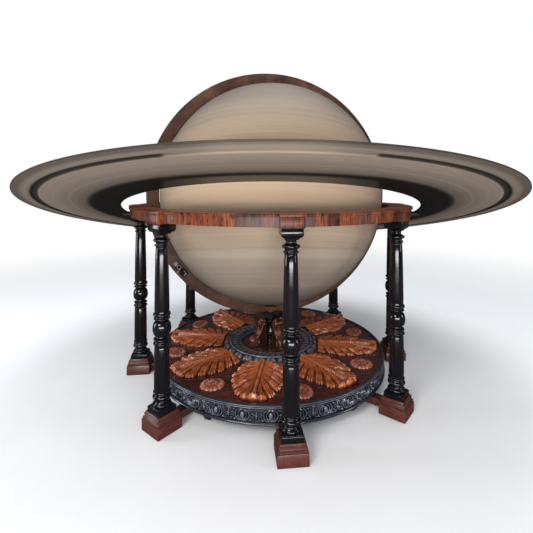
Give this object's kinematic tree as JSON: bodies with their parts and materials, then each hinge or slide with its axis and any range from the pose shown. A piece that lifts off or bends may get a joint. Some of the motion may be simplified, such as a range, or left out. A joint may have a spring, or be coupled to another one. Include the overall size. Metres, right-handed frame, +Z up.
{
  "type": "orrery",
  "caption": "Ringed-planet orrery in a round wooden floor stand: spinning globe, tilting flat ring, turned columns and carved lower platform.",
  "frame": {"origin": "on the floor under the globe's centre, in the middle of the stand", "axes": "+Z up; the stand's front faces -Y; the planet ring's tilt axis lies along X"},
  "size_m": [2.208, 2.1562, 1.492],
  "materials": {
    "mahogany": "satin polish",
    "ebonised_wood": "gloss polish",
    "board_wood": "gloss polish",
    "veneer": "gloss polish",
    "carved_wood": "waxed",
    "rosette_wood": "waxed",
    "ring_wood": "worn satin",
    "globe_paint": "satin paint with soft bands",
    "disc_paint": "satin paint with fine concentric bands",
    "steel": "brushed",
    "brass": "aged",
    "caster_wheel": "matte"
  },
  "bodies": {
    "stand": {"stretcher_spider": "mahogany", "foot_block_1": "mahogany", "foot_block_2": "mahogany", "foot_block_3": "mahogany", "foot_block_4": "mahogany", "foot_block_5": "mahogany", "foot_block_6": "mahogany", "foot_block_7": "mahogany", "foot_block_8": "mahogany", "column_1": "ebonised_wood", "column_2": "ebonised_wood", "column_3": "ebonised_wood", "column_4": "ebonised_wood", "column_5": "ebonised_wood", "column_6": "ebonised_wood", "column_7": "ebonised_wood", "column_8": "ebonised_wood", "horizon_ring": "veneer", "platform_board": "board_wood", "platform_rim": "ebonised_wood", "acanthus_leaf_1": "carved_wood", "acanthus_leaf_2": "carved_wood", "acanthus_leaf_3": "carved_wood", "acanthus_leaf_4": "carved_wood", "acanthus_leaf_5": "carved_wood", "acanthus_leaf_6": "carved_wood", "acanthus_leaf_7": "carved_wood", "acanthus_leaf_8": "carved_wood", "rosette_1": "rosette_wood", "rosette_2": "rosette_wood", "rosette_3": "rosette_wood", "rosette_4": "rosette_wood", "rosette_5": "rosette_wood", "rosette_6": "rosette_wood", "rosette_7": "rosette_wood", "rosette_8": "rosette_wood", "boss_ring": "ebonised_wood", "ring_cradle": "ebonised_wood", "scroll_console_1": "carved_wood", "scroll_console_2": "carved_wood", "scroll_console_3": "carved_wood", "scroll_console_4": "carved_wood", "ring_bracket_right": "steel", "ring_bracket_left": "steel"},
    "support_ring": {"meridian_ring": "ring_wood", "pole_bracket_top": "brass", "pole_bracket_bottom": "brass", "meridian_catch": "brass"},
    "globe": {"hemisphere_north": "globe_paint", "hemisphere_south": "globe_paint", "polar_axle": "steel"},
    "planet_ring": {"planet_ring": "disc_paint"},
    "caster_1": {"caster_fork_1": "brass"},
    "wheel_1": {"caster_wheel_1": "caster_wheel"},
    "caster_2": {"caster_fork_2": "brass"},
    "wheel_2": {"caster_wheel_2": "caster_wheel"},
    "caster_3": {"caster_fork_3": "brass"},
    "wheel_3": {"caster_wheel_3": "caster_wheel"},
    "caster_4": {"caster_fork_4": "brass"},
    "wheel_4": {"caster_wheel_4": "caster_wheel"}
  },
  "joints": [
    {"name": "planet_ring_tilt", "type": "hinge", "parent": "stand", "child": "planet_ring", "pos_m": [0, 0, 0.772], "axis": [1, 0, 0], "range_deg": [-2.5, 28]},
    {"name": "support_ring_roll", "type": "hinge", "parent": "stand", "child": "support_ring", "pos_m": [0, 0, 0.876], "axis": [-0.1736, 0.9848, 0], "range_deg": [-20, 20]},
    {"name": "globe_spin", "type": "hinge", "parent": "support_ring", "child": "globe", "pos_m": [0, 0, 0.876], "axis": [0, 0.2181, 0.9759], "continuous": true},
    {"name": "caster_swivel_1", "type": "hinge", "parent": "stand", "child": "caster_1", "pos_m": [-0.23943, -0.4503, 0.08], "axis": [0, 0, 1], "continuous": true},
    {"name": "wheel_spin_1", "type": "hinge", "parent": "caster_1", "child": "wheel_1", "pos_m": [-0.23943, -0.4503, 0.031], "axis": [0.8829, -0.4695, 0], "continuous": true},
    {"name": "caster_swivel_2", "type": "hinge", "parent": "stand", "child": "caster_2", "pos_m": [0.32782, -0.39068, 0.08], "axis": [0, 0, 1], "continuous": true},
    {"name": "wheel_spin_2", "type": "hinge", "parent": "caster_2", "child": "wheel_2", "pos_m": [0.32782, -0.39068, 0.031], "axis": [0.766, 0.6428, 0], "continuous": true},
    {"name": "caster_swivel_3", "type": "hinge", "parent": "stand", "child": "caster_3", "pos_m": [0.23943, 0.4503, 0.08], "axis": [0, 0, 1], "continuous": true},
    {"name": "wheel_spin_3", "type": "hinge", "parent": "caster_3", "child": "wheel_3", "pos_m": [0.23943, 0.4503, 0.031], "axis": [-0.8829, 0.4695, 0], "continuous": true},
    {"name": "caster_swivel_4", "type": "hinge", "parent": "stand", "child": "caster_4", "pos_m": [-0.32782, 0.39068, 0.08], "axis": [0, 0, 1], "continuous": true},
    {"name": "wheel_spin_4", "type": "hinge", "parent": "caster_4", "child": "wheel_4", "pos_m": [-0.32782, 0.39068, 0.031], "axis": [-0.766, -0.6428, 0], "continuous": true}
  ]
}
